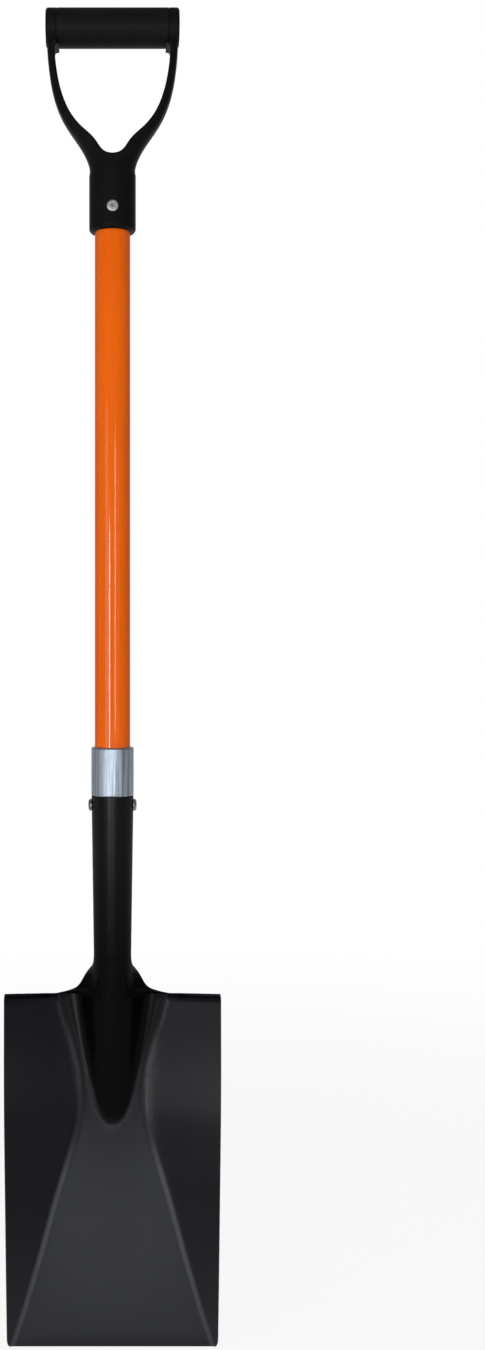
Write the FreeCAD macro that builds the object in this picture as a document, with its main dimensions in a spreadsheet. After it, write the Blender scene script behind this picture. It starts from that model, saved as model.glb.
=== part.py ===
import FreeCAD, Part
import Sketcher
import math
import os
from types import SimpleNamespace

# D-handle digging spade, in millimetres. Z runs up along the shaft, X to the right, and the
# front, the side that the blade's wings turn towards, faces -Y. The origin is the middle of the
# cutting edge, the blade leans back from it, and the shaft's axis stands behind it.

# Driving sizes
sizes = {
    # blade: one pressed sheet
    "blade_length": 269.5,
    "shoulder_width": 177.8,
    "mouth_width": 167.5,
    "sheet": 2.0,
    "mouth_sheet": 1.2,
    "mouth_bevel": 7.0,
    "axis_setback": 42.0,
    "pan_behind_axis": 8.0,
    "wing_angle": 18.0,
    "crease_blend": 4.0,
    "frog_length": 131.0,
    "step_depth": 9.0,
    "step_runout": 14.0,
    "corner_radius": 2.0,
    # socket, rolled from the same sheet
    "flare_height": 32.0,
    "neck_trim": 14.0,
    "socket_height": 163.7,
    "socket_top_diameter": 34.7,
    "socket_bottom_diameter": 30.8,
    "seam_gap": 5.0,
    "seam_mouth_width": 32.0,
    "seam_mouth_height": 56.0,
    # shaft and ferrule
    "shaft_diameter": 29.2,
    "shaft_bore": 22.2,
    "shaft_length": 604.0,
    "shaft_insertion": 97.7,
    "shaft_fit": 0.15,
    "plug_fit": 0.1,
    "plug_length": 125.0,
    "plug_inset": 4.0,
    "ferrule_length": 40.0,
    "ferrule_diameter": 34.9,
    "ferrule_rim": 1.4,
    "seat_gap": 0.1,
    # socket rivet, through shaft and plug
    "rivet_drop": 7.6,
    "rivet_diameter": 6.0,
    "rivet_hole_fit": 0.1,
    "rivet_head_diameter": 10.0,
    "rivet_head_height": 2.6,
    # grip yoke
    "collar_overlap": 43.0,
    "collar_length": 47.0,
    "collar_diameter": 38.4,
    "collar_rim": 3.4,
    "grip_rise": 122.0,
    "yoke_width": 109.6,
    "arm_depth": 27.6,
    "boss_length": 8.5,
    "boss_rim": 2.2,
    "crotch_rise": 14.0,
    "arm_thickness": 7.3,
    "opening_corner": 3.5,
    "opening_rim": 2.0,
    # hand grip
    "grip_diameter": 31.7,
    "grip_end_gap": 0.2,
    "grip_rim": 0.8,
    "grip_clearance": 0.3,
    "rod_diameter": 8.0,
    "rod_fit": 0.15,
    "rod_head_diameter": 13.0,
    "rod_head_height": 2.4,
    "rod_recess": 0.2,
    "washer_diameter": 17.0,
    "washer_thickness": 1.5,
    "washer_fit": 0.2,
    # blind rivet in the collar
    "collar_rivet_rise": 17.2,
    "blind_rivet_diameter": 4.8,
    "blind_flange_diameter": 9.8,
    "blind_flange_height": 1.7,
    "blind_bulge_diameter": 6.6,
    "blind_bulge_length": 4.0,
    "stem_diameter": 2.6,
    "stem_head_diameter": 4.4,
    "stem_head_length": 1.8,
    "stem_pit": 0.9,
    "stem_fit": 0.05,
    "hole_overrun": 1.0,
}

doc = FreeCAD.newDocument("spade")
sheet = doc.addObject("Spreadsheet::Sheet", "sizes")
for row, (alias, value) in enumerate(sizes.items(), start=1):
    sheet.set(f"A{row}", alias)
    sheet.set(f"B{row}", str(value))
    sheet.setAlias(f"B{row}", alias)
doc.recompute()
dim = SimpleNamespace(**{alias: float(sheet.get(alias)) for alias in sizes})

# Blade: the middle surface of the sheet is a net of control points, row by row up the spade.
# A place in a row is (x, forward), forward being the distance ahead of the shaft's axis.

# height share of the blade, half width share of the shoulder's half width
crease_shares = [(0, 0.897), (0.11, 0.782), (0.25, 0.652), (0.40, 0.522), (0.54, 0.389), (0.61, 0.332),
                 (0.66, 0.306), (0.71, 0.307), (0.76, 0.322), (0.80, 0.343), (0.88, 0.412),
                 (0.94, 0.470), (1, 0.520)]
frog_width_shares = [(0, 0.08), (0.62, 0.08), (0.66, 0.12), (0.71, 0.155), (0.80, 0.208), (0.88, 0.243),
                     (0.94, 0.266), (1, 0.285)]
# rows of the net up the blade, below the turn of the steps
row_shares = [0, 0.003, 0.012, 0.025, 0.11, 0.25, 0.40, 0.50, 0.56, 0.60, 0.63, 0.66, 0.70, 0.75, 0.80, 0.85,
              0.90, 0.94]
# half width share of the frog, height share of the frog
frog_profile_shares = [(0, 1), (0.3, 0.94), (0.58, 0.74), (0.82, 0.40), (1.02, 0.09), (1.3, 0)]
wing_column_shares = [0.08, 0.2, 0.35, 0.6, 1]
# turn of the step's net, share of a right angle from one row to the next
step_turn_shares = [1 / 6, 1 / 2, 5 / 6, 1]
flare_row_shares = [0.06, 0.13, 0.22, 0.34, 0.48, 0.62, 0.76, 0.90, 1.05, 1.25, 1.5, 1.8]
socket_row_shares = [0.35, 0.65, 0.85, 1]
flare_roll_power = 0.8
neck_trim_power = 3
seam_columns = len(frog_profile_shares) + 2
# rounding of a head's rim, share of the head's height
dome_share = 0.92
rod_dome_share = 0.8

half_shoulder = dim.shoulder_width / 2
half_mouth = dim.mouth_width / 2
step_height = dim.blade_length - dim.sheet / 2
turn_rise = dim.step_depth * (
    sum(math.cos(turn * math.pi / 2) for turn in step_turn_shares)
    / sum(math.sin(turn * math.pi / 2) for turn in step_turn_shares))
turn_height = step_height - turn_rise
lean = (dim.axis_setback + dim.pan_behind_axis) / step_height
flare_top = step_height + dim.flare_height
socket_top = dim.blade_length + dim.socket_height
collar_base = socket_top - dim.shaft_insertion + dim.shaft_length - dim.collar_overlap
collar_top = collar_base + dim.collar_length
crotch = collar_top + dim.crotch_rise
grip_height = collar_top + dim.grip_rise
opening_top = grip_height - dim.grip_diameter / 2 - dim.grip_clearance
axis_y = dim.axis_setback
half_opening = dim.yoke_width / 2 - dim.arm_thickness
same_place = dim.seat_gap / 10


def blend(share):
    """Smooth step from 0 to 1."""
    share = min(max(share, 0), 1)
    return share * share * (3 - 2 * share)


def along(shares, share):
    """Value of a table of shares at one share, straight between its rows."""
    for (low, low_value), (high, high_value) in zip(shares, shares[1:]):
        if share <= high:
            return low_value + (high_value - low_value) * (share - low) / (high - low)
    return shares[-1][1]


def socket_radius(height):
    """Outer radius of the socket, a plain cone, at a height."""
    share = (height - flare_top) / (socket_top - flare_top)
    bottom = dim.socket_bottom_diameter / 2
    return bottom + (dim.socket_top_diameter / 2 - bottom) * share


def pan_forward(height):
    share = height / step_height
    return dim.axis_setback * (1 - share) - dim.pan_behind_axis * share


def frog_rise(height):
    """How far the frog's ridge stands in front of the pan."""
    tip = flare_top - dim.frog_length
    tip_forward = pan_forward(tip)
    ridge_top = socket_radius(flare_top) - dim.sheet / 2
    share = (height - tip) / dim.frog_length
    ridge = tip_forward + (ridge_top - tip_forward) * share
    return max(0, ridge - pan_forward(height)) if height > tip else 0


def blade_half_row(height):
    """Net points from the middle of the blade to its right edge at a height."""
    share = height / step_height
    corner = max(0, 1 - height / dim.corner_radius)
    edge = half_mouth + (half_shoulder - half_mouth) * share - dim.corner_radius * corner ** 2
    crease = along(crease_shares, share) * half_shoulder
    frog = along(frog_width_shares, share) * half_shoulder
    pan = pan_forward(height)
    rise = frog_rise(height)
    slope = math.tan(math.radians(dim.wing_angle))
    wing = edge - crease
    first = wing_column_shares[0] * wing
    middle = [(frog * wide, pan + rise * high) for wide, high in frog_profile_shares]
    middle.append((crease - dim.crease_blend, pan))
    lift = first * slope * dim.crease_blend / (dim.crease_blend + first)
    middle.append((crease, pan + lift))
    outer = [(crease + wing * wide, pan + wing * wide * slope) for wide in wing_column_shares]
    return middle, outer


def rolled_half_row(height):
    """Net points of the neck from its front to the seam, rolled up from the top of the blade."""
    flat, outer = blade_half_row(step_height)
    radius = socket_radius(height) - dim.sheet / 2
    steps = seam_columns - 1
    open_share = max(0, 1 - (height - step_height) / dim.seam_mouth_height)
    gap = dim.seam_gap + (dim.seam_mouth_width - dim.seam_gap) * open_share ** 2
    turn = (math.pi - gap / 2 / radius) / steps
    net_radius = radius * 3 / (2 + math.cos(turn))
    chord = 2 * net_radius * math.sin(turn / 2)
    rise = height - step_height
    trimmed = 1 - max(0, 1 - rise / dim.neck_trim) ** neck_trim_power
    rolled = min(1, rise / dim.flare_height) ** flare_roll_power
    front = pan_forward(height) + frog_rise(height)
    place = (0, net_radius if rolled == 1 else min(front, net_radius))
    row = [place]
    for number in range(steps):
        dx = flat[number + 1][0] - flat[number][0]
        dy = flat[number][1] - flat[number + 1][1]
        angle = (1 - rolled) * math.atan2(dy, dx) + rolled * turn * (number + 0.5)
        length = (1 - trimmed) * math.hypot(dx, dy) + trimmed * chord
        place = (place[0] + length * math.cos(angle), place[1] - length * math.sin(angle))
        row.append(place)
    return row


def row_sides(places, height, thickness):
    """Front and back control points of one row, half the sheet each side of its places."""
    front = []
    back = []
    for number, (x, forward) in enumerate(places):
        before = places[max(number - 1, 0)]
        after = places[min(number + 1, len(places) - 1)]
        dx = after[0] - before[0]
        dy = after[1] - before[1]
        if number == 0:
            dx, dy = 1, 0
        nx = -dy / math.hypot(dx, dy) * thickness / 2
        ny = dx / math.hypot(dx, dy) * thickness / 2
        front.append(FreeCAD.Vector(x + nx, axis_y - forward - ny, height))
        back.append(FreeCAD.Vector(x - nx, axis_y - forward + ny, height))
    return front, back


def leant(points, share):
    """Wing points raised as they stand ahead of the crease, square to the blade's lean."""
    return [point + FreeCAD.Vector(0, 0, (points[0].y - point.y) * lean * share) for point in points]


def mirrored(points):
    return [FreeCAD.Vector(-point.x, point.y, point.z) for point in points]


def whole(half):
    """A full row from its right half, whose first point is on the middle plane."""
    return mirrored(half[:0:-1]) + half


def knots_of(count):
    degree = min(3, count - 1)
    inner = count - degree - 1
    mults = [degree + 1] + [1] * inner + [degree + 1]
    return degree, mults, [number / (inner + 1) for number in range(inner + 2)]


def net_face(net):
    """Smooth face drawn by a net of control points, whose edges follow the net's outer rows."""
    u_degree, u_mults, u_knots = knots_of(len(net))
    v_degree, v_mults, v_knots = knots_of(len(net[0]))
    surface = Part.BSplineSurface()
    surface.buildFromPolesMultsKnots(net, u_mults, v_mults, u_knots, v_knots, False, False,
                                     u_degree, v_degree)
    return surface.toShape()


def flat_rim(pairs):
    """Plane face closing the front and back rows of nets that end at one height, middle net first."""
    rows = [whole(row) for row in pairs[0]]
    for row in [row for pair in pairs[1:] for row in pair]:
        rows += [row, mirrored(row)]
    end = [row[-1] for row in pairs[-1]]
    edges = []
    for row in rows + [end, mirrored(end)]:
        degree, mults, knots = knots_of(len(row))
        curve = Part.BSplineCurve()
        curve.buildFromPolesMultsKnots(row, mults, knots, False, degree)
        edges.append(curve.toShape())
    return Part.Face(Part.Wire(Part.sortEdges(edges)[0]))


def step_nets(top_front, top_back, side_front, side_back):
    """Front and back nets of the right foot step, turned forward from the wing's top row."""
    middle = [(front + back) * 0.5 for front, back in zip(top_front, top_back)]
    centre = [middle]
    turn_count = len(step_turn_shares)
    for level in range(1, turn_count + 1):
        row = []
        for place in middle:
            out = blend((place.x - middle[0].x) / dim.step_runout)
            turns = [out * turn * math.pi / 2 for turn in step_turn_shares]
            length = turn_rise / sum(math.cos(turn) for turn in turns)
            up = sum(length * math.cos(turn) for turn in turns[:level])
            ahead = sum(length * math.sin(turn) for turn in turns[:level])
            row.append(place + FreeCAD.Vector(0, -ahead, up + ahead * lean))
        row[-1].x -= dim.corner_radius * (level / turn_count) ** 2
        centre.append(row)
    fronts = [top_front]
    backs = [top_back]
    columns = len(middle)
    for level in range(1, turn_count + 1):
        front = [side_front[level]]
        back = [side_back[level]]
        for column in range(1, columns):
            across = centre[level][min(column + 1, columns - 1)] - centre[level][column - 1]
            upward = centre[min(level + 1, turn_count)][column] - centre[level - 1][column]
            normal = across.cross(upward)
            normal.normalize()
            normal = normal * (dim.sheet / 2)
            front.append(centre[level][column] + normal)
            back.append(centre[level][column] - normal)
        fronts.append(front)
        backs.append(back)
    return fronts, backs


def pressed_blade():
    """The whole pressing as one solid: pan, wings, steps, frog, flare and rolled socket."""
    pan = ([], [])
    wing = ([], [])
    for share in row_shares + [turn_height / step_height]:
        height = share * step_height
        taper = min(1, height / dim.mouth_bevel)
        thickness = dim.mouth_sheet + (dim.sheet - dim.mouth_sheet) * taper
        middle, outer = blade_half_row(height)
        count = len(middle)
        for side, points in enumerate(row_sides(middle + outer, height, thickness)):
            pan[side].append(points[:count])
            wing[side].append(leant(points[count - 1:], share))
    neck = ([pan[0][-1]], [pan[1][-1]])
    for level in range(1, len(step_turn_shares) + 1):
        height = turn_height + turn_rise * level / len(step_turn_shares)
        middle, outer = blade_half_row(height)
        for side, points in enumerate(row_sides(middle + outer, height, dim.sheet)):
            neck[side].append(points[:len(middle)])
    step = step_nets(wing[0][-1], wing[1][-1],
                     [row[-1] for row in neck[0]], [row[-1] for row in neck[1]])
    socket = ([neck[0][-1]], [neck[1][-1]])
    heights = [step_height + share * dim.flare_height for share in flare_row_shares]
    heights += [heights[-1] + share * (socket_top - heights[-1]) for share in socket_row_shares]
    for height in heights:
        for side, points in enumerate(row_sides(rolled_half_row(height), height, dim.sheet)):
            socket[side].append(points)
    faces = []
    for front, back in (pan, neck, socket):
        faces += [net_face([whole(row) for row in front]), net_face([whole(row) for row in back])]
    for front, back in (wing, step):
        for net in (front, back):
            faces += [net_face(net), net_face([mirrored(row) for row in net])]
    rims = [(step[0][-1], step[1][-1])]
    rims += [([row[-1] for row in net[0]], [row[-1] for row in net[1]]) for net in (wing, step, socket)]
    for front, back in rims:
        faces += [net_face([front, back]), net_face([mirrored(front), mirrored(back)])]
    faces.append(flat_rim([(pan[0][0], pan[1][0]), (wing[0][0], wing[1][0])]))
    faces.append(flat_rim([(socket[0][-1], socket[1][-1])]))
    skin = Part.makeCompound(faces)
    skin.sewShape()
    solid = Part.makeSolid(skin.Shells[0])
    if solid.Volume < 0:
        solid.reverse()
    return solid


def origin_plane(body, role):
    return next(plane for plane in body.Origin.OriginFeatures if plane.Role == role)


def new_sketch(body, name, role):
    sketch = body.newObject("Sketcher::SketchObject", name)
    sketch.AttachmentSupport = [(origin_plane(body, role), "")]
    sketch.MapMode = "FlatFace"
    return sketch


def turned_body(name, outline):
    """Body turned about Z from a closed outline of (radius, height) pairs of expressions."""
    body = doc.addObject("PartDesign::Body", name)
    sketch = new_sketch(body, name + "_section", "XZ_Plane")
    places = [(sheet.evalExpression(radius), sheet.evalExpression(height)) for radius, height in outline]
    points = [FreeCAD.Vector(radius, height, 0) for radius, height in places]
    for number, point in enumerate(points):
        sketch.addGeometry(Part.LineSegment(point, points[(number + 1) % len(points)]))
    for number, (radius, height) in enumerate(outline):
        sketch.addConstraint(Sketcher.Constraint("Coincident", number, 2, (number + 1) % len(points), 1))
        if radius == "0":
            sketch.addConstraint(Sketcher.Constraint("PointOnObject", number, 1, -2))
        else:
            index = sketch.addConstraint(
                Sketcher.Constraint("DistanceX", -1, 1, number, 1, points[number].x))
            sketch.setExpression(f"Constraints[{index}]", radius)
        if height == "0":
            sketch.addConstraint(Sketcher.Constraint("PointOnObject", number, 1, -1))
        else:
            index = sketch.addConstraint(
                Sketcher.Constraint("DistanceY", -1, 1, number, 1, points[number].y))
            sketch.setExpression(f"Constraints[{index}]", height)
    turning = body.newObject("PartDesign::Revolution", name + "_turning")
    turning.Profile = sketch
    turning.ReferenceAxis = (sketch, ["V_Axis"])
    turning.Angle = 360
    doc.recompute()
    return body


def round_rims(body, name, radius, rims):
    """Round the circular edges of a turned body at the (radius, height) pairs of expressions."""
    places = [(sheet.evalExpression(rim), sheet.evalExpression(height)) for rim, height in rims]
    edges = []
    for number, edge in enumerate(body.Tip.Shape.Edges, start=1):
        if isinstance(edge.Curve, Part.Circle):
            at = (edge.Curve.Radius, edge.Curve.Center.z)
            if any(math.dist(at, place) < same_place for place in places):
                edges.append(f"Edge{number}")
    turned = body.Tip
    fillet = body.newObject("PartDesign::Fillet", name)
    fillet.Base = (turned, edges)
    fillet.setExpression("Radius", radius)
    doc.recompute()


def cross_bore(body, name, role, diameter, height, side_type, reverse=False):
    """Bore through a turned body, square to its axis, at a height given as an expression."""
    before = body.Shape.Volume
    sketch = new_sketch(body, name + "_circle", role)
    sketch.addGeometry(Part.Circle(FreeCAD.Vector(0, sheet.evalExpression(height), 0),
                                   FreeCAD.Vector(0, 0, 1), sheet.evalExpression(diameter) / 2))
    sketch.addConstraint(Sketcher.Constraint("PointOnObject", 0, 3, -2))
    index = sketch.addConstraint(
        Sketcher.Constraint("DistanceY", -1, 1, 0, 3, sheet.evalExpression(height)))
    sketch.setExpression(f"Constraints[{index}]", height)
    index = sketch.addConstraint(Sketcher.Constraint("Diameter", 0, sheet.evalExpression(diameter)))
    sketch.setExpression(f"Constraints[{index}]", diameter)
    pocket = body.newObject("PartDesign::Pocket", name)
    pocket.Profile = sketch
    pocket.Type = "ThroughAll"
    pocket.SideType = side_type
    pocket.Reversed = reverse
    doc.recompute()
    print(name, "removes", round(before - body.Shape.Volume, 1), "mm3")
    return pocket


def on_shaft(part, height="0"):
    """Put a part's own origin on the shaft's axis, at a height given as an expression."""
    part.setExpression("Placement.Base.y", "sizes.axis_setback")
    part.setExpression("Placement.Base.z", height)


# Heights along the shaft, as expressions on the sheet
socket_top_at = "(sizes.blade_length + sizes.socket_height)"
ferrule_base_at = f"({socket_top_at} + sizes.seat_gap)"
ferrule_top_at = f"({ferrule_base_at} + sizes.ferrule_length)"
rivet_at = f"({socket_top_at} - sizes.rivet_drop)"
shaft_tip_at = f"({socket_top_at} - sizes.shaft_insertion)"
shaft_top_at = f"({shaft_tip_at} + sizes.shaft_length)"
collar_base_at = f"({shaft_top_at} - sizes.collar_overlap)"
collar_rivet_at = f"({collar_base_at} + sizes.collar_rivet_rise)"
grip_at = f"({collar_base_at} + sizes.collar_length + sizes.grip_rise)"
socket_taper = ("((sizes.socket_top_diameter - sizes.socket_bottom_diameter) / 2"
                " / (sizes.socket_height + sizes.sheet / 2 - sizes.flare_height))")
socket_bore_top = "(sizes.socket_top_diameter / 2 - sizes.sheet)"


def make_blade():
    pressing = doc.addObject("Part::Feature", "blade_pressing")
    pressing.Shape = pressed_blade()
    hole = doc.addObject("Part::Cylinder", "blade_rivet_hole")
    hole.Placement.Rotation = FreeCAD.Rotation(FreeCAD.Vector(0, 1, 0), 90)
    hole.setExpression("Radius", "sizes.rivet_diameter / 2 + sizes.rivet_hole_fit")
    hole.setExpression("Height", "sizes.socket_top_diameter + 2 * sizes.hole_overrun")
    hole.setExpression("Placement.Base.x", "-sizes.socket_top_diameter / 2 - sizes.hole_overrun")
    on_shaft(hole, rivet_at)
    blade = doc.addObject("Part::Cut", "spade_blade")
    blade.Base = pressing
    blade.Tool = hole
    return blade


def make_shaft():
    """Fibreglass tube. Where the socket is too narrow for it, its end is ground to the taper."""
    radius = "sizes.shaft_diameter / 2"
    bore = "sizes.shaft_bore / 2"
    tip_radius = f"{socket_bore_top} - sizes.shaft_fit - sizes.shaft_insertion * {socket_taper}"
    taper_top = (f"{socket_top_at} - ({socket_bore_top} - sizes.shaft_fit"
                 f" - sizes.shaft_diameter / 2) / {socket_taper}")
    body = turned_body("shaft_tube", [(bore, shaft_tip_at), (tip_radius, shaft_tip_at), (radius, taper_top),
                                      (radius, shaft_top_at), (bore, shaft_top_at)])
    cross_bore(body, "shaft_rivet_hole", "YZ_Plane", "sizes.rivet_diameter + 2 * sizes.rivet_hole_fit",
               rivet_at, "Symmetric")
    cross_bore(body, "shaft_blind_hole", "XZ_Plane", "sizes.blind_rivet_diameter + 2 * sizes.stem_fit",
               collar_rivet_at, "One side", True)
    on_shaft(body)
    return body


def make_core_plug():
    radius = "sizes.shaft_bore / 2 - sizes.plug_fit"
    base = f"{shaft_tip_at} + sizes.plug_inset"
    top = f"{base} + sizes.plug_length"
    body = turned_body("shaft_core_plug", [("0", base), (radius, base), (radius, top), ("0", top)])
    cross_bore(body, "plug_rivet_hole", "YZ_Plane", "sizes.rivet_diameter + 2 * sizes.rivet_hole_fit",
               rivet_at, "Symmetric")
    on_shaft(body)
    return body


def make_ferrule():
    inner = "sizes.shaft_diameter / 2 + sizes.shaft_fit"
    outer = "sizes.ferrule_diameter / 2"
    body = turned_body("ferrule", [(inner, ferrule_base_at), (outer, ferrule_base_at),
                                   (outer, ferrule_top_at), (inner, ferrule_top_at)])
    round_rims(body, "ferrule_rims", "sizes.ferrule_rim",
               [(outer, ferrule_base_at), (outer, ferrule_top_at)])
    on_shaft(body)
    return body


def make_socket_rivet():
    """Solid rivet along X, its domed heads seated on the socket's two sides."""
    shank = "sizes.rivet_diameter / 2"
    head = "sizes.rivet_head_diameter / 2"
    seat = (f"sizes.socket_top_diameter / 2 - sizes.rivet_drop * {socket_taper}")
    crown = f"{seat} + sizes.rivet_head_height"
    body = turned_body("socket_rivet", [("0", f"-({crown})"), (head, f"-({crown})"), (head, f"-({seat})"),
                                        (shank, f"-({seat})"), (shank, seat), (head, seat),
                                        (head, crown), ("0", crown)])
    round_rims(body, "socket_rivet_domes", f"sizes.rivet_head_height * {dome_share}",
               [(head, crown), (head, f"-({crown})")])
    body.Placement.Rotation = FreeCAD.Rotation(FreeCAD.Vector(0, 1, 0), 90)
    on_shaft(body, rivet_at)
    return body


# Grip yoke, section by section: height share from collar top to grip axis, half width share from
# collar to boss, half depth share from collar to arm, and how square the section is
yoke_section_shares = [(0, 0, 0, 2.0), (0.07, 0.008, 0.063, 2.0), (0.14, 0.104, 0.21, 2.2),
                       (0.22, 0.266, 0.474, 2.6), (0.30, 0.454, 0.685, 3.0), (0.385, 0.626, 0.833, 3.4),
                       (0.525, 0.809, 0.944, 3.8), (0.70, 0.923, 1, 4.0), (0.85, 0.969, 1, 4.0),
                       (1, 0.989, 1, 4.0)]
# right side of the hand opening: height share of the opening, half width share
opening_shares = [(0, 0), (0.02, 0.13), (0.125, 0.287), (0.267, 0.547), (0.41, 0.75), (0.555, 0.867),
                  (0.75, 0.955), (0.95, 1)]
section_points = 32


def yoke_section(height, half_width, half_depth, square):
    """Closed rounded section of the yoke: an ellipse at the collar, squarer up the arms."""
    points = []
    for number in range(section_points):
        angle = 2 * math.pi * number / section_points
        x = math.copysign(abs(math.cos(angle)) ** (2 / square), math.cos(angle))
        y = math.copysign(abs(math.sin(angle)) ** (2 / square), math.sin(angle))
        points.append(FreeCAD.Vector(x * half_width, axis_y + y * half_depth, height))
    curve = Part.BSplineCurve()
    curve.interpolate(points, PeriodicFlag=True)
    return Part.Wire([curve.toShape()])


def yoke_opening():
    """Prism through the yoke: the D that the hand goes into, closed below the grip."""
    rise = opening_top - crotch
    corner = dim.opening_corner
    depth = dim.collar_diameter
    side = [FreeCAD.Vector(wide * half_opening, 0, crotch + high * rise) for high, wide in opening_shares]
    curve = Part.BSplineCurve()
    curve.interpolate(mirrored(side[:0:-1]) + side)
    ends = (FreeCAD.Vector(-half_opening, 0, side[-1].z), FreeCAD.Vector(half_opening, 0, side[-1].z))
    low = opening_top - corner
    bend = corner * (1 - math.sqrt(1 / 2))
    right = [FreeCAD.Vector(half_opening, 0, low), FreeCAD.Vector(half_opening - bend, 0, opening_top - bend),
             FreeCAD.Vector(half_opening - corner, 0, opening_top)]
    left = mirrored(right)
    edges = [curve.toShape()]
    if low > side[-1].z:
        edges.append(Part.LineSegment(ends[1], right[0]).toShape())
    edges.append(Part.Arc(*right).toShape())
    edges.append(Part.LineSegment(right[2], left[2]).toShape())
    edges.append(Part.Arc(left[2], left[1], left[0]).toShape())
    if low > side[-1].z:
        edges.append(Part.LineSegment(left[0], ends[0]).toShape())
    face = Part.Face(Part.Wire(edges))
    face.translate(FreeCAD.Vector(0, axis_y - depth, 0))
    return face.extrude(FreeCAD.Vector(0, 2 * depth, 0))


def opening_edges(arms):
    """The two long edges of the hand opening, front and back."""
    return [edge for edge in arms.Edges
            if edge.BoundBox.XLength > half_opening and edge.BoundBox.ZLength > half_opening]


def moulded_yoke():
    """Arms, collar and bosses as one moulding, before its bores."""
    radius = dim.grip_diameter / 2
    collar_radius = dim.collar_diameter / 2
    half = dim.yoke_width / 2
    sections = [yoke_section(collar_top + high * dim.grip_rise,
                             collar_radius + wide * (half - collar_radius),
                             collar_radius + deep * (dim.arm_depth / 2 - collar_radius), square)
                for high, wide, deep, square in yoke_section_shares]
    arms = Part.makeLoft(sections, True, False).cut(yoke_opening())
    inner = half - dim.boss_length
    gap = Part.makeBox(2 * inner, 2 * dim.collar_diameter, 2 * dim.grip_diameter,
                       FreeCAD.Vector(-inner, axis_y - dim.collar_diameter, opening_top))
    arms = arms.cut(gap).Solids[0]
    arms = arms.makeFillet(dim.opening_rim, opening_edges(arms))
    collar = Part.Face(sections[0]).extrude(FreeCAD.Vector(0, 0, -dim.collar_length))
    rim = [edge for edge in collar.Edges if edge.BoundBox.ZMax < collar_base + dim.collar_rim]
    moulding = arms.fuse(collar.makeFillet(dim.collar_rim, rim))
    for side in (1, -1):
        boss = Part.makeCylinder(radius, dim.boss_length, FreeCAD.Vector(side * inner, axis_y, grip_height),
                                 FreeCAD.Vector(side, 0, 0))
        boss = boss.makeFillet(dim.boss_rim, circles_at(boss, "x", side * half))
        moulding = moulding.fuse(boss)
    return moulding


def circles_at(shape, direction, place):
    return [edge for edge in shape.Edges
            if isinstance(edge.Curve, Part.Circle)
            and abs(getattr(edge.Curve.Center, direction) - place) < same_place]


def bore_along_x(name, diameter, start, length):
    """Round cutter along X on the grip's axis; sizes are expressions."""
    bore = doc.addObject("Part::Cylinder", name)
    bore.Placement.Rotation = FreeCAD.Rotation(FreeCAD.Vector(0, 1, 0), 90)
    bore.setExpression("Radius", f"({diameter}) / 2")
    bore.setExpression("Height", length)
    bore.setExpression("Placement.Base.x", start)
    on_shaft(bore, grip_at)
    return bore


def make_yoke():
    moulding = doc.addObject("Part::Feature", "yoke_moulding")
    moulding.Shape = moulded_yoke()
    socket = doc.addObject("Part::Cylinder", "yoke_shaft_bore")
    socket.setExpression("Radius", "sizes.shaft_diameter / 2 + sizes.shaft_fit")
    socket.setExpression("Height", "sizes.collar_overlap + sizes.seat_gap + sizes.hole_overrun")
    on_shaft(socket, f"{collar_base_at} - sizes.hole_overrun")
    rivet = doc.addObject("Part::Cylinder", "yoke_blind_hole")
    rivet.Placement.Rotation = FreeCAD.Rotation(FreeCAD.Vector(1, 0, 0), 90)
    rivet.setExpression("Radius", "sizes.blind_rivet_diameter / 2 + sizes.stem_fit")
    rivet.setExpression("Height", "sizes.collar_diameter / 2 + sizes.hole_overrun")
    on_shaft(rivet, collar_rivet_at)
    rod = bore_along_x("yoke_rod_bore", "sizes.rod_diameter + 2 * sizes.rod_fit",
                       "-sizes.yoke_width / 2", "sizes.yoke_width")
    deep = "(sizes.rod_recess + sizes.rod_head_height + sizes.washer_thickness)"
    wide = "sizes.washer_diameter + 2 * sizes.washer_fit"
    right = bore_along_x("yoke_counterbore_right", wide, f"sizes.yoke_width / 2 - {deep}",
                         f"{deep} + sizes.hole_overrun")
    left = bore_along_x("yoke_counterbore_left", wide, "-sizes.yoke_width / 2 - sizes.hole_overrun",
                        f"{deep} + sizes.hole_overrun")
    bores = doc.addObject("Part::MultiFuse", "yoke_bores")
    bores.Shapes = [socket, rivet, rod, right, left]
    yoke = doc.addObject("Part::Cut", "grip_yoke")
    yoke.Base = moulding
    yoke.Tool = bores


def along_x(body):
    """Lay a body turned about Z along X, centred on the grip's axis."""
    body.Placement.Rotation = FreeCAD.Rotation(FreeCAD.Vector(0, 1, 0), 90)
    on_shaft(body, grip_at)


def make_grip_sleeve():
    inner = "sizes.rod_diameter / 2 + sizes.rod_fit"
    outer = "sizes.grip_diameter / 2"
    end = "(sizes.yoke_width / 2 - sizes.boss_length - sizes.grip_end_gap)"
    body = turned_body("grip_sleeve", [(inner, f"-{end}"), (outer, f"-{end}"), (outer, end), (inner, end)])
    round_rims(body, "grip_sleeve_rims", "sizes.grip_rim", [(outer, end), (outer, f"-{end}")])
    along_x(body)


def make_grip_rod():
    """Rod headed over on a washer in each boss."""
    shank = "sizes.rod_diameter / 2"
    head = "sizes.rod_head_diameter / 2"
    crown = "(sizes.yoke_width / 2 - sizes.rod_recess)"
    seat = "(sizes.yoke_width / 2 - sizes.rod_recess - sizes.rod_head_height)"
    body = turned_body("grip_rod", [("0", f"-{crown}"), (head, f"-{crown}"), (head, f"-{seat}"),
                                    (shank, f"-{seat}"), (shank, seat), (head, seat),
                                    (head, crown), ("0", crown)])
    round_rims(body, "grip_rod_heads", f"sizes.rod_head_height * {rod_dome_share}",
               [(head, crown), (head, f"-{crown}")])
    along_x(body)


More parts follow.
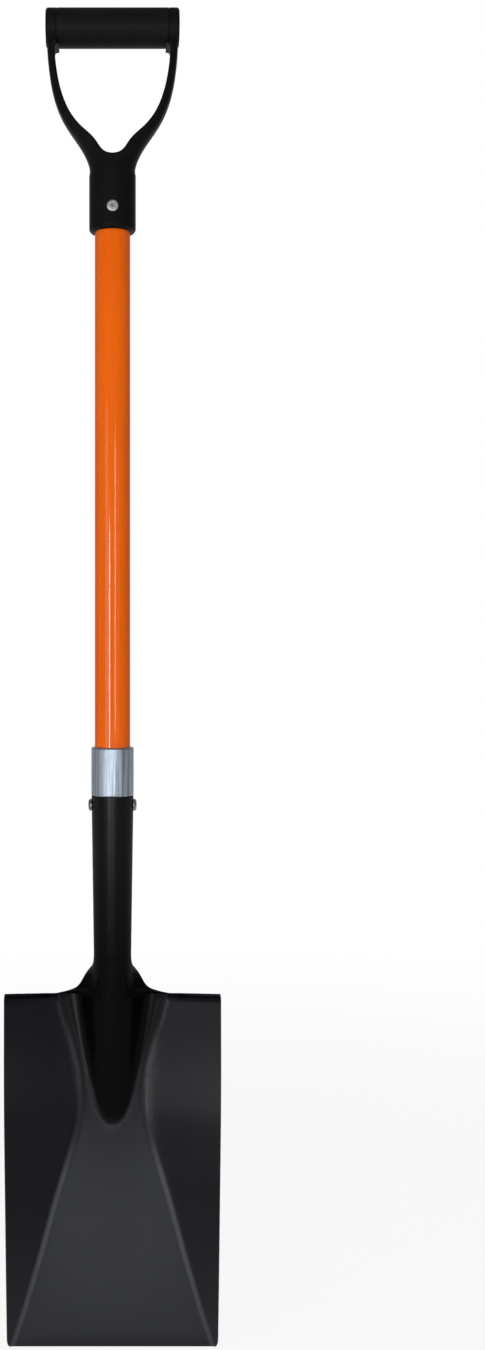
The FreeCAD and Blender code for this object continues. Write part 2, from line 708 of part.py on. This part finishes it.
def make_rod_washers():
    seat = "sizes.yoke_width / 2 - sizes.rod_recess - sizes.rod_head_height - sizes.washer_thickness"
    disc = bore_along_x("washer_disc", "sizes.washer_diameter", seat, "sizes.washer_thickness")
    hole = bore_along_x("washer_hole", "sizes.rod_diameter + 2 * sizes.rod_fit", seat,
                        "sizes.washer_thickness")
    right = doc.addObject("Part::Cut", "washer_right")
    right.Base = disc
    right.Tool = hole
    left = doc.addObject("Part::Mirroring", "washer_left")
    left.Source = right
    left.Normal = FreeCAD.Vector(1, 0, 0)
    pair = doc.addObject("Part::Compound", "grip_rod_washers")
    pair.Links = [right, left]


def make_collar_rivet():
    """Blind rivet: flange on the collar's front, tail spread inside the tube."""
    inner = "sizes.stem_diameter / 2 + sizes.stem_fit"
    shank = "sizes.blind_rivet_diameter / 2"
    flange = "sizes.blind_flange_diameter / 2"
    bulge = "sizes.blind_bulge_diameter / 2"
    seat = "sizes.collar_diameter / 2"
    crown = "(sizes.collar_diameter / 2 + sizes.blind_flange_height)"
    wall = "(sizes.shaft_bore / 2 - sizes.seat_gap)"
    tail = f"({wall} - sizes.blind_bulge_length)"
    body = turned_body("collar_rivet", [(inner, tail), (bulge, tail), (bulge, wall), (shank, wall),
                                        (shank, seat), (flange, seat), (flange, crown), (inner, crown)])
    round_rims(body, "collar_rivet_dome", f"sizes.blind_flange_height * {dome_share}", [(flange, crown)])
    body.Placement.Rotation = FreeCAD.Rotation(FreeCAD.Vector(1, 0, 0), 90)
    on_shaft(body, collar_rivet_at)
    stem = "sizes.stem_diameter / 2"
    knob = "sizes.stem_head_diameter / 2"
    base = f"({tail} - sizes.seat_gap)"
    top = f"({crown} - sizes.stem_pit)"
    body = turned_body("collar_rivet_stem", [("0", f"{base} - sizes.stem_head_length"),
                                             (knob, f"{base} - sizes.stem_head_length"), (knob, base),
                                             (stem, base), (stem, top), ("0", top)])
    body.Placement.Rotation = FreeCAD.Rotation(FreeCAD.Vector(1, 0, 0), 90)
    on_shaft(body, collar_rivet_at)


make_blade()
make_shaft()
make_core_plug()
make_ferrule()
make_socket_rivet()
make_yoke()
make_grip_sleeve()
make_grip_rod()
make_rod_washers()
make_collar_rivet()
doc.recompute()

nodes = ["spade_blade", "shaft_tube", "shaft_core_plug", "ferrule", "socket_rivet", "grip_yoke",
         "grip_sleeve", "grip_rod", "grip_rod_washers", "collar_rivet", "collar_rivet_stem"]
for item in doc.Objects:
    if "Invalid" in item.State or "Error" in item.State:
        raise RuntimeError(f"{item.Name} failed: {item.State}")
os.makedirs("parts", exist_ok=True)
for name in nodes:
    shape = doc.getObject(name).Shape
    if shape.isNull() or not shape.isValid():
        raise RuntimeError(f"{name} has no valid shape")
    doc.getObject(name).Label = name
    shape.exportStep(f"parts/{name}.step")
    box = shape.BoundBox
    print(name, len(shape.Solids), "solids,", round(shape.Volume / 1000, 2), "cm3,",
          [round(value, 1) for value in (box.XLength, box.YLength, box.ZLength, box.ZMin)])
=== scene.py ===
import bpy
import math
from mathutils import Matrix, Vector


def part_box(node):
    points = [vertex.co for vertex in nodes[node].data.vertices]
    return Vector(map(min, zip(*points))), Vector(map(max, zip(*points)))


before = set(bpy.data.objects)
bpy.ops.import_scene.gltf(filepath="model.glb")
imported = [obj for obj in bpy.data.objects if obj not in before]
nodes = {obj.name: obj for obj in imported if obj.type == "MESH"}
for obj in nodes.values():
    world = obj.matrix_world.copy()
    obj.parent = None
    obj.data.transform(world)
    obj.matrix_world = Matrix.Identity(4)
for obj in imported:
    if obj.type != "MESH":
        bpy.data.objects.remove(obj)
scene = bpy.context.scene
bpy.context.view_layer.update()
print("frame loaded:", len(nodes), "nodes")


class Value:
    # one shader socket; sums on it add Math nodes
    def __init__(self, finish, socket):
        self.finish = finish
        self.socket = socket

    def math(self, operation, *others):
        inputs = dict(enumerate((self,) + others))
        return self.finish.node("Math", {"operation": operation}, inputs)

    def reflected(self, operation, first):
        return self.finish.node("Math", {"operation": operation}, {0: first, 1: self})

    def __add__(self, other):
        return self.math("ADD", other)

    def __radd__(self, other):
        return self.reflected("ADD", other)

    def __sub__(self, other):
        return self.math("SUBTRACT", other)

    def __rsub__(self, other):
        return self.reflected("SUBTRACT", other)

    def __mul__(self, other):
        return self.math("MULTIPLY", other)

    def __rmul__(self, other):
        return self.reflected("MULTIPLY", other)

    def __truediv__(self, other):
        return self.math("DIVIDE", other)

    def __rtruediv__(self, other):
        return self.reflected("DIVIDE", other)

    def __pow__(self, other):
        return self.math("POWER", other)

    def __rpow__(self, other):
        return self.reflected("POWER", other)

    def above(self, low, high):
        # 0 below low, 1 above high, smooth between
        return self.finish.node("MapRange", {"interpolation_type": "SMOOTHSTEP"},
                                {"Value": self, "From Min": low, "From Max": high})

    def spread(self, low, high):
        # low where the value is 0, high where it is 1
        return low + self * (high - low)


class Finish:
    # one material, or the world, and its nodes
    def __init__(self, name, owner=None):
        self.owner = owner or bpy.data.materials.new(name)
        self.owner.use_nodes = True
        self.tree = self.owner.node_tree
        self.tree.nodes.clear()

    def node(self, kind, settings=None, inputs=None, output=0):
        made = self.tree.nodes.new("ShaderNode" + kind)
        for key, setting in (settings or {}).items():
            if key == "stops":
                self.setStops(made.color_ramp.elements, setting)
            else:
                setattr(made, key, setting)
        for key, value in (inputs or {}).items():
            if isinstance(value, Value):
                self.tree.links.new(value.socket, made.inputs[key])
            else:
                made.inputs[key].default_value = value
        return Value(self, made.outputs[output]) if len(made.outputs) else None

    def setStops(self, elements, stops):
        while len(elements) < len(stops):
            elements.new(1)
        # from the last back, because the ramp keeps its elements in order
        for element, (place, colour) in reversed(list(zip(elements, stops))):
            element.position = place
            element.color = colour

    def axis(self, name):
        where = self.node("TexCoord", output="Object")
        return self.node("SeparateXYZ", inputs={0: where}, output=name)

    def noise(self, scale, detail, rough, stretch=(1, 1, 1)):
        where = self.node("TexCoord", output="Object")
        where = self.node("Mapping", inputs={"Vector": where, "Scale": stretch})
        return self.node("TexNoise", inputs={"Vector": where, "Scale": scale,
                                             "Detail": detail, "Roughness": rough})

    def mix(self, share, first, second):
        return self.node("Mix", {"data_type": "RGBA"}, {0: share, 6: first, 7: second}, output=2)

    def curve(self, along, points):
        # straight between points (place, level), both 0 to 1
        stops = [(place, grey(level)) for place, level in points]
        return self.node("ValToRGB", {"stops": stops}, {0: along})

    def bump(self, height, strength, distance):
        return self.node("Bump", inputs={"Strength": strength, "Distance": distance,
                                         "Height": height})

    def surface(self, colour, rough, bump, others=None):
        inputs = {"Base Color": colour, "Roughness": rough, "Normal": bump}
        inputs.update(others or {})
        shader = self.node("BsdfPrincipled", inputs=inputs)
        self.node("OutputMaterial", inputs={"Surface": shader})
        return self.owner


def grey(level):
    return (level, level, level, 1)


def rgb(red, green, blue):
    # a colour as a paint chart gives it, 0 to 255
    return tuple(((c / 255 + 0.055) / 1.055) ** 2.4 if c > 10 else c / 255 / 12.92
                 for c in (red, green, blue)) + (1,)


def dress(name, material):
    mesh = nodes[name].data
    mesh.materials.clear()
    mesh.materials.append(material)


# blade: satin black powder coat, with a painted highlight along the crease, painted sheen at the
# mouth and painted shade on the frog and socket
bladeLook = {
    # of these colours the deepest black is painted shade on frog and socket, and the palest grey
    # is a painted highlight along the crease and painted sheen at the mouth
    "black": (8, 9, 15), "dust": (21, 22, 27), "deep": (3, 3, 4), "paintedSheenGrey": (74, 75, 79),
    # noises: marks per metre, detail, roughness
    "patches": (9, 4, 0.6), "grit": (1400, 2, 0.6), "orangePeel": (900, 2, 0.5),
    # how much of each colour shows, and from which level to which of its noise
    "patchDust": 0.35, "patchShows": (0.45, 0.75), "gritDust": 0.4, "gritShows": (0.62, 0.72),
    # shares of the painted shade on frog and socket, the painted sheen at the mouth and the
    # painted highlight along the crease, with their patchiness
    "frogPaintedShade": 0.9, "mouthSheenShare": 0.15, "mouthSheenPatchy": (0.6, 1.4),
    "creaseHighlightShare": 0.8, "creaseHighlightPatchy": (0.55, 1.05), "creaseHighlightAtMouth": 0.75, "creaseHighlightAboveWaist": 0.2,
    "rough": 0.25, "dullRough": 0.1, "patchRough": 0.06, "gritRough": 0.05,
    # a clear gloss over the black, and what takes from it
    "gloss": 0.27, "glossIOR": 1.45, "mattLoss": 0.65, "creaseMatt": 0.55, "socketMatt": 0.1,
    "glossPatchy": (0.9, 1.1), "gritDulls": (0.5, 0.8), "gritGloss": (1.04, 0.74),
    "bump": 0.5, "peelHeight": 0.00002, "peelShare": 0.6, "gritShare": 0.4,
    # metres
    "height": 0.2685, "halfWidth": 0.0889,
    # shares of the half width, out from a line
    "creaseEdge": (0.006, 0.036), "creaseBand": (0.02, 0.09), "frogEdge": (-0.012, 0.018),
    # shares of the height between which something changes
    "creaseHighlightMouth": (0, 0.25), "mouth": (0, 0.45), "waist": (0.45, 0.62), "frogTip": (0.612, 0.624),
    "shoulder": (0.80, 0.93), "step": (0.97, 1.0), "socketFoot": (1.0, 1.08), "neck": (1.0, 1.6),
    # lines up the blade: share of the height, share of the half width
    "crease": [(0, 0.897), (0.11, 0.782), (0.25, 0.652), (0.40, 0.522), (0.54, 0.389),
               (0.61, 0.332), (0.66, 0.306), (0.71, 0.307), (0.76, 0.322), (0.80, 0.343),
               (0.88, 0.412), (1, 0.520)],
    "frog": [(0.61, 0.0), (0.618, 0.04), (0.64, 0.11), (0.68, 0.165), (0.78, 0.25),
             (0.88, 0.335), (1, 0.42)],
}


def powderCoat():
    look = bladeLook
    coat = Finish("bladePowderCoat")
    patch = coat.noise(*look["patches"])
    grit = coat.noise(*look["grit"])
    peel = coat.noise(*look["orangePeel"])
    across = coat.axis("X").math("ABSOLUTE") / look["halfWidth"]
    up = coat.axis("Z") / look["height"]
    aboveWaist = up.above(*look["waist"])

    # the crease stands proud; along it runs a painted highlight, a paler grey line, most of all
    # below the waist
    offCrease = (across - coat.curve(up, look["crease"])).math("ABSOLUTE")
    paintedCreaseHighlight = (1 - offCrease.above(*look["creaseEdge"])) * patch.spread(*look["creaseHighlightPatchy"])
    paintedCreaseHighlight = paintedCreaseHighlight * up.above(*look["creaseHighlightMouth"]).spread(look["creaseHighlightAtMouth"], 1)
    paintedCreaseHighlight = paintedCreaseHighlight * aboveWaist.spread(1, look["creaseHighlightAboveWaist"]) * (1 - up.above(*look["shoulder"]))
    # painted sheen: the pan is painted a little paler towards the mouth
    paintedMouthSheen = (1 - up.above(*look["mouth"])) * patch.spread(*look["mouthSheenPatchy"])
    # painted shade: frog and socket are painted a deeper black, and their coat is duller and
    # rougher than the pan's
    offFrog = (across - coat.curve(up, look["frog"])).above(*look["frogEdge"])
    onFrog = (1 - offFrog) * up.above(*look["frogTip"])
    dull = up.above(*look["socketFoot"]).math("MAXIMUM", onFrog)
    matt = up.above(*look["step"]).math("MAXIMUM", onFrog)
    matt = matt * up.above(*look["neck"]).spread(1, look["socketMatt"])
    creaseMatt = (1 - offCrease.above(*look["creaseBand"])) * aboveWaist * look["creaseMatt"]
    matt = matt.math("MAXIMUM", creaseMatt)

    dusty = patch.above(*look["patchShows"]) * look["patchDust"]
    dusty = dusty + grit.above(*look["gritShows"]) * look["gritDust"]
    colour = coat.mix(dusty, rgb(*look["black"]), rgb(*look["dust"]))
    # painted shade on frog and socket, then painted sheen at the mouth and a painted highlight
    # along the crease
    colour = coat.mix(dull * look["frogPaintedShade"], colour, rgb(*look["deep"]))
    colour = coat.mix(paintedMouthSheen * look["mouthSheenShare"], colour, rgb(*look["paintedSheenGrey"]))
    colour = coat.mix(paintedCreaseHighlight * look["creaseHighlightShare"], colour, rgb(*look["paintedSheenGrey"]))
    rough = look["rough"] + dull * look["dullRough"]
    rough = rough + (patch - 0.5) * look["patchRough"] + (grit - 0.5) * look["gritRough"]
    # fine grit and faint patches break the gloss up
    gloss = matt.spread(1, 1 - look["mattLoss"]) * patch.spread(*look["glossPatchy"])
    gloss = gloss * grit.above(*look["gritDulls"]).spread(*look["gritGloss"]) * look["gloss"]
    height = peel * look["peelShare"] + grit * look["gritShare"]
    return coat.surface(colour, rough, coat.bump(height, look["bump"], look["peelHeight"]),
                        {"Specular IOR Level": 0.0, "Coat Weight": gloss,
                         "Coat IOR": look["glossIOR"], "Coat Roughness": look["rough"]})


dress("spade_blade", powderCoat())
print("blade coated")


# shaft: orange fibreglass under clear gloss, its strands running up the tube
shaftLook = {
    "orange": (228, 98, 0), "deep": (212, 81, 0),
    # noises: marks per metre, detail, roughness, then how they stretch
    "strands": (2600, 2, 0.6, (1, 1, 0.008)), "clouds": (26, 3, 0.5, (1, 1, 0.25)),
    "strandShade": 0.35, "strandShows": (0.35, 0.7), "cloudShade": 0.3, "cloudShows": (0.4, 0.8),
    "rough": 0.32, "strandRough": 0.1, "bump": 0.25, "strandHeight": 0.00003,
    "coat": 0.4, "coatIOR": 1.55, "coatRough": 0.09,
}


def orangeFibreglass():
    look = shaftLook
    shell = Finish("shaftFibreglass")
    strand = shell.noise(*look["strands"])
    cloud = shell.noise(*look["clouds"])
    shade = strand.above(*look["strandShows"]) * look["strandShade"]
    shade = shade + cloud.above(*look["cloudShows"]) * look["cloudShade"]
    colour = shell.mix(shade, rgb(*look["orange"]), rgb(*look["deep"]))
    rough = look["rough"] + (strand - 0.5) * look["strandRough"]
    return shell.surface(colour, rough, shell.bump(strand, look["bump"], look["strandHeight"]),
                         {"Specular IOR Level": 0.0, "Coat Weight": look["coat"],
                          "Coat IOR": look["coatIOR"], "Coat Roughness": look["coatRough"]})


dress("shaft_tube", orangeFibreglass())
print("shaft laid up")


# ferrule of drawn aluminium, brushed along the shaft; rivets, rod and washers alike all ways
ferruleLook = {"metal": (157, 165, 175), "dull": (84, 91, 100), "rough": 0.32,
               "lines": 3200, "stretch": (1, 1, 0.02)}
rivetLook = {"metal": (176, 178, 181), "dull": (112, 114, 117), "rough": 0.36,
             "lines": 900, "stretch": (1, 1, 1)}
steelLook = {"metal": (146, 148, 152), "dull": (84, 85, 88), "rough": 0.2,
             "lines": 1300, "stretch": (1, 1, 1)}
# what the metals share: fine lines, and bands some lines wide
brushing = {
    "linesToBand": 9, "lineDetail": (3, 0.7), "bandDetail": (2, 0.6),
    "lineShade": 0.4, "lineShows": (0.3, 0.75), "bandShade": 0.55, "bandShows": (0.4, 0.62),
    "lineRough": 0.12, "bump": 0.9, "depth": 0.0003, "lineShare": 0.6, "bandShare": 0.8,
}


def brushedMetal(name, look):
    metal = Finish(name)
    line = metal.noise(look["lines"], *brushing["lineDetail"], look["stretch"])
    band = metal.noise(look["lines"] / brushing["linesToBand"], *brushing["bandDetail"],
                       look["stretch"])
    shade = line.above(*brushing["lineShows"]) * brushing["lineShade"]
    shade = shade + band.above(*brushing["bandShows"]) * brushing["bandShade"]
    colour = metal.mix(shade, rgb(*look["metal"]), rgb(*look["dull"]))
    rough = look["rough"] + line * brushing["lineRough"]
    height = line * brushing["lineShare"] + band * brushing["bandShare"]
    return metal.surface(colour, rough, metal.bump(height, brushing["bump"], brushing["depth"]),
                         {"Metallic": 1})


dress("ferrule", brushedMetal("ferruleAluminium", ferruleLook))
rivetAluminium = brushedMetal("rivetAluminium", rivetLook)
for name in ("collar_rivet", "grip_rod_washers"):
    dress(name, rivetAluminium)
rivetSteel = brushedMetal("rivetSteel", steelLook)
for name in ("socket_rivet", "collar_rivet_stem", "grip_rod"):
    dress(name, rivetSteel)
print("metals brushed")


# grip: moulded black plastics, the sleeve a little paler than the yoke
yokeLook = {"black": (10, 10, 11), "scuff": (21, 21, 22), "rough": 0.5, "grain": 1500}
sleeveLook = {"black": (15, 15, 16), "scuff": (28, 28, 29), "rough": 0.5, "grain": 1900}
# what both mouldings share
moulding = {
    "grainDetail": (2, 0.6), "clouds": (34, 4, 0.6),
    "cloudScuff": 0.35, "cloudShows": (0.42, 0.75), "grainScuff": 0.25, "grainShows": (0.6, 0.75),
    "cloudRough": 0.12, "grainRough": 0.1, "bump": 0.5, "grainHeight": 0.00003, "specular": 0.06,
}


def mouldedPlastic(name, look):
    plastic = Finish(name)
    grain = plastic.noise(look["grain"], *moulding["grainDetail"])
    cloud = plastic.noise(*moulding["clouds"])
    scuffed = cloud.above(*moulding["cloudShows"]) * moulding["cloudScuff"]
    scuffed = scuffed + grain.above(*moulding["grainShows"]) * moulding["grainScuff"]
    colour = plastic.mix(scuffed, rgb(*look["black"]), rgb(*look["scuff"]))
    rough = look["rough"] + (cloud - 0.5) * moulding["cloudRough"]
    rough = rough + (grain - 0.5) * moulding["grainRough"]
    bump = plastic.bump(grain, moulding["bump"], moulding["grainHeight"])
    return plastic.surface(colour, rough, bump, {"Specular IOR Level": moulding["specular"]})


dress("grip_yoke", mouldedPlastic("yokePlastic", yokeLook))
dress("grip_sleeve", mouldedPlastic("sleevePlastic", sleeveLook))
print("grip moulded")


# plug inside the tube: plain turned wood
plugLook = {"pale": (205, 170, 120), "dark": (160, 118, 72), "rough": (0.5, 0.7),
            "grain": (420, 3, 0.6, (1, 1, 0.05)), "grainShows": (0.3, 0.7),
            "bump": 0.4, "grainHeight": 0.0002}


def turnedWood():
    look = plugLook
    wood = Finish("plugWood")
    grain = wood.noise(*look["grain"])
    colour = wood.mix(grain.above(*look["grainShows"]), rgb(*look["pale"]), rgb(*look["dark"]))
    bump = wood.bump(grain, look["bump"], look["grainHeight"])
    return wood.surface(colour, grain.spread(*look["rough"]), bump)


dress("shaft_core_plug", turnedWood())
print("plug turned")


# studio: white paper behind and under the spade, fading to a pale grey room
studio = {
    "grey": 0.34, "floorSize": 30.0, "shadow": 0.12, "middle": 0.1,
    # how far a direction points towards +Y where the white begins, and where it is full
    "backdrop": (0.72, 0.885),
    # metres from the middle between which the white floor fades, and its shadows
    "whiteFloor": (2.2, 8.0), "shadowFloor": (0.5, 1.6),
}


def paintRoom():
    room = Finish("room", bpy.data.worlds.new("room"))
    scene.world = room.owner
    direction = room.node("TexCoord", output="Generated")
    behind = room.node("SeparateXYZ", inputs={0: direction}, output="Y")
    colour = room.mix(behind.above(*studio["backdrop"]), grey(studio["grey"]), grey(1))
    light = room.node("Background", inputs={"Color": colour, "Strength": 1.0})
    room.node("OutputWorld", inputs={"Surface": light})


def layFloor():
    size = studio["floorSize"]
    mesh = bpy.data.meshes.new("floor")
    mesh.from_pydata([(-size, -size, 0), (size, -size, 0), (size, size, 0), (-size, size, 0)],
                     [], [(0, 1, 2, 3)])
    floor = bpy.data.objects.new("floor", mesh)
    scene.collection.objects.link(floor)
    paper = Finish("floorPaper")
    behind = paper.axis("Y")
    distance = ((paper.axis("X") - studio["middle"]) ** 2 + behind ** 2) ** 0.5
    near = 1 - distance.above(*studio["whiteFloor"])
    white = near.math("MAXIMUM", (behind / distance).above(*studio["backdrop"]))
    colour = paper.mix(white, grey(studio["grey"]), grey(1))
    # seen directly or in a reflection the paper glows, less a share that takes shadows
    camera, glossy, through = [paper.node("LightPath", output=ray) for ray in
                               ("Is Camera Ray", "Is Glossy Ray", "Is Transmission Ray")]
    seen = (camera + glossy + through).math("MINIMUM", 1.0)
    shadowed = (1 - distance.above(*studio["shadowFloor"])) * studio["shadow"]
    matt = paper.node("BsdfDiffuse", inputs={"Color": colour})
    glow = paper.node("Emission", inputs={"Color": colour, "Strength": 1.0})
    both = paper.node("MixShader", inputs={0: seen * (1 - shadowed), 1: matt, 2: glow})
    paper.node("OutputMaterial", inputs={"Surface": both})
    mesh.materials.append(paper.owner)


shaftAxis = (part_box("shaft_tube")[0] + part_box("shaft_tube")[1]) / 2

# upright lamps round the shaft: degrees to the right of the front, metres away, height of
# the lower and the upper edge, width, brightness, colour
lamps = {
    "stripLeft": {"turn": -19.5, "away": 3.0, "low": 0.05, "high": 0.88, "wide": 0.34,
                  "bright": 31.0, "tint": (1, 1, 1)},
    "stripRight": {"turn": 17.0, "away": 3.0, "low": 0.30, "high": 1.13, "wide": 0.28,
                   "bright": 15.0, "tint": (1, 1, 1)},
    "sideLeft": {"turn": -90.0, "away": 2.0, "low": 0.0, "high": 1.5, "wide": 0.06,
                 "bright": 3.0, "tint": (1, 1, 1)},
    "wingFront": {"turn": -38.0, "away": 3.2, "low": 0.1, "high": 1.25, "wide": 1.0,
                  "bright": 2.55, "tint": (1, 1, 1)},
    "wingRight": {"turn": 35.0, "away": 3.2, "low": 0.2, "high": 1.1, "wide": 1.0,
                  "bright": 0.75, "tint": (1, 1, 1)},
    "panFront": {"turn": 0.0, "away": 3.0, "low": 0.0, "high": 0.17, "wide": 1.0,
                 "bright": 16.5, "tint": (0.91, 0.94, 1.0)},
}
# the lamp above, aimed at the middle of the shaft
keyLamp = {"turn": 4.0, "lift": 44.0, "away": 3.4, "wide": 2.4, "tall": 1.4,
           "bright": 0.5, "tint": (1, 1, 1)}


def aroundShaft(away, turn, lift=0.0):
    turn, lift = math.radians(turn), math.radians(lift)
    level = math.cos(lift)
    return shaftAxis + away * Vector((level * math.sin(turn), -level * math.cos(turn),
                                      math.sin(lift)))


def hangLamp(name, place, aim, wide, tall, lamp):
    light = bpy.data.lights.new(name, "AREA")
    light.shape = "RECTANGLE"
    light.size = wide
    light.size_y = tall
    light.energy = lamp["bright"] * math.pi * wide * tall
    light.color = lamp["tint"]
    hung = bpy.data.objects.new(name, light)
    scene.collection.objects.link(hung)
    hung.location = place
    hung.rotation_euler = (aim - place).to_track_quat("-Z", "Y").to_euler()
    hung.visible_camera = False


def lightTheSpade():
    for name, lamp in lamps.items():
        place = aroundShaft(lamp["away"], lamp["turn"])
        aim = shaftAxis.copy()
        place.z = aim.z = (lamp["low"] + lamp["high"]) / 2
        hangLamp(name, place, aim, lamp["wide"], lamp["high"] - lamp["low"], lamp)
    place = aroundShaft(keyLamp["away"], keyLamp["turn"], keyLamp["lift"])
    hangLamp("keyAbove", place, shaftAxis, keyLamp["wide"], keyLamp["tall"], keyLamp)


# camera: metres from the shaft's axis and up, then the picture's frame in pixels
view = {"away": 1.195, "height": 0.5626, "sensor": 36.0,
        "wide": 485, "tall": 1350, "focal": 1450.0, "axisX": 112.5, "horizonY": 638.5}


def setCamera():
    data = bpy.data.cameras.new("camera")
    data.sensor_fit = "AUTO"
    data.sensor_width = view["sensor"]
    data.lens = view["focal"] / view["tall"] * view["sensor"]
    data.shift_x = (view["wide"] / 2 - view["axisX"]) / view["tall"]
    data.shift_y = (view["horizonY"] - view["tall"] / 2) / view["tall"]
    data.dof.use_dof = False
    camera = bpy.data.objects.new("camera", data)
    scene.collection.objects.link(camera)
    camera.location = (0, shaftAxis.y - view["away"], view["height"])
    camera.rotation_euler = (math.pi / 2, 0, 0)
    scene.camera = camera


paintRoom()
layFloor()
lightTheSpade()
setCamera()
scene.view_settings.view_transform = "Standard"
print("studio lit")
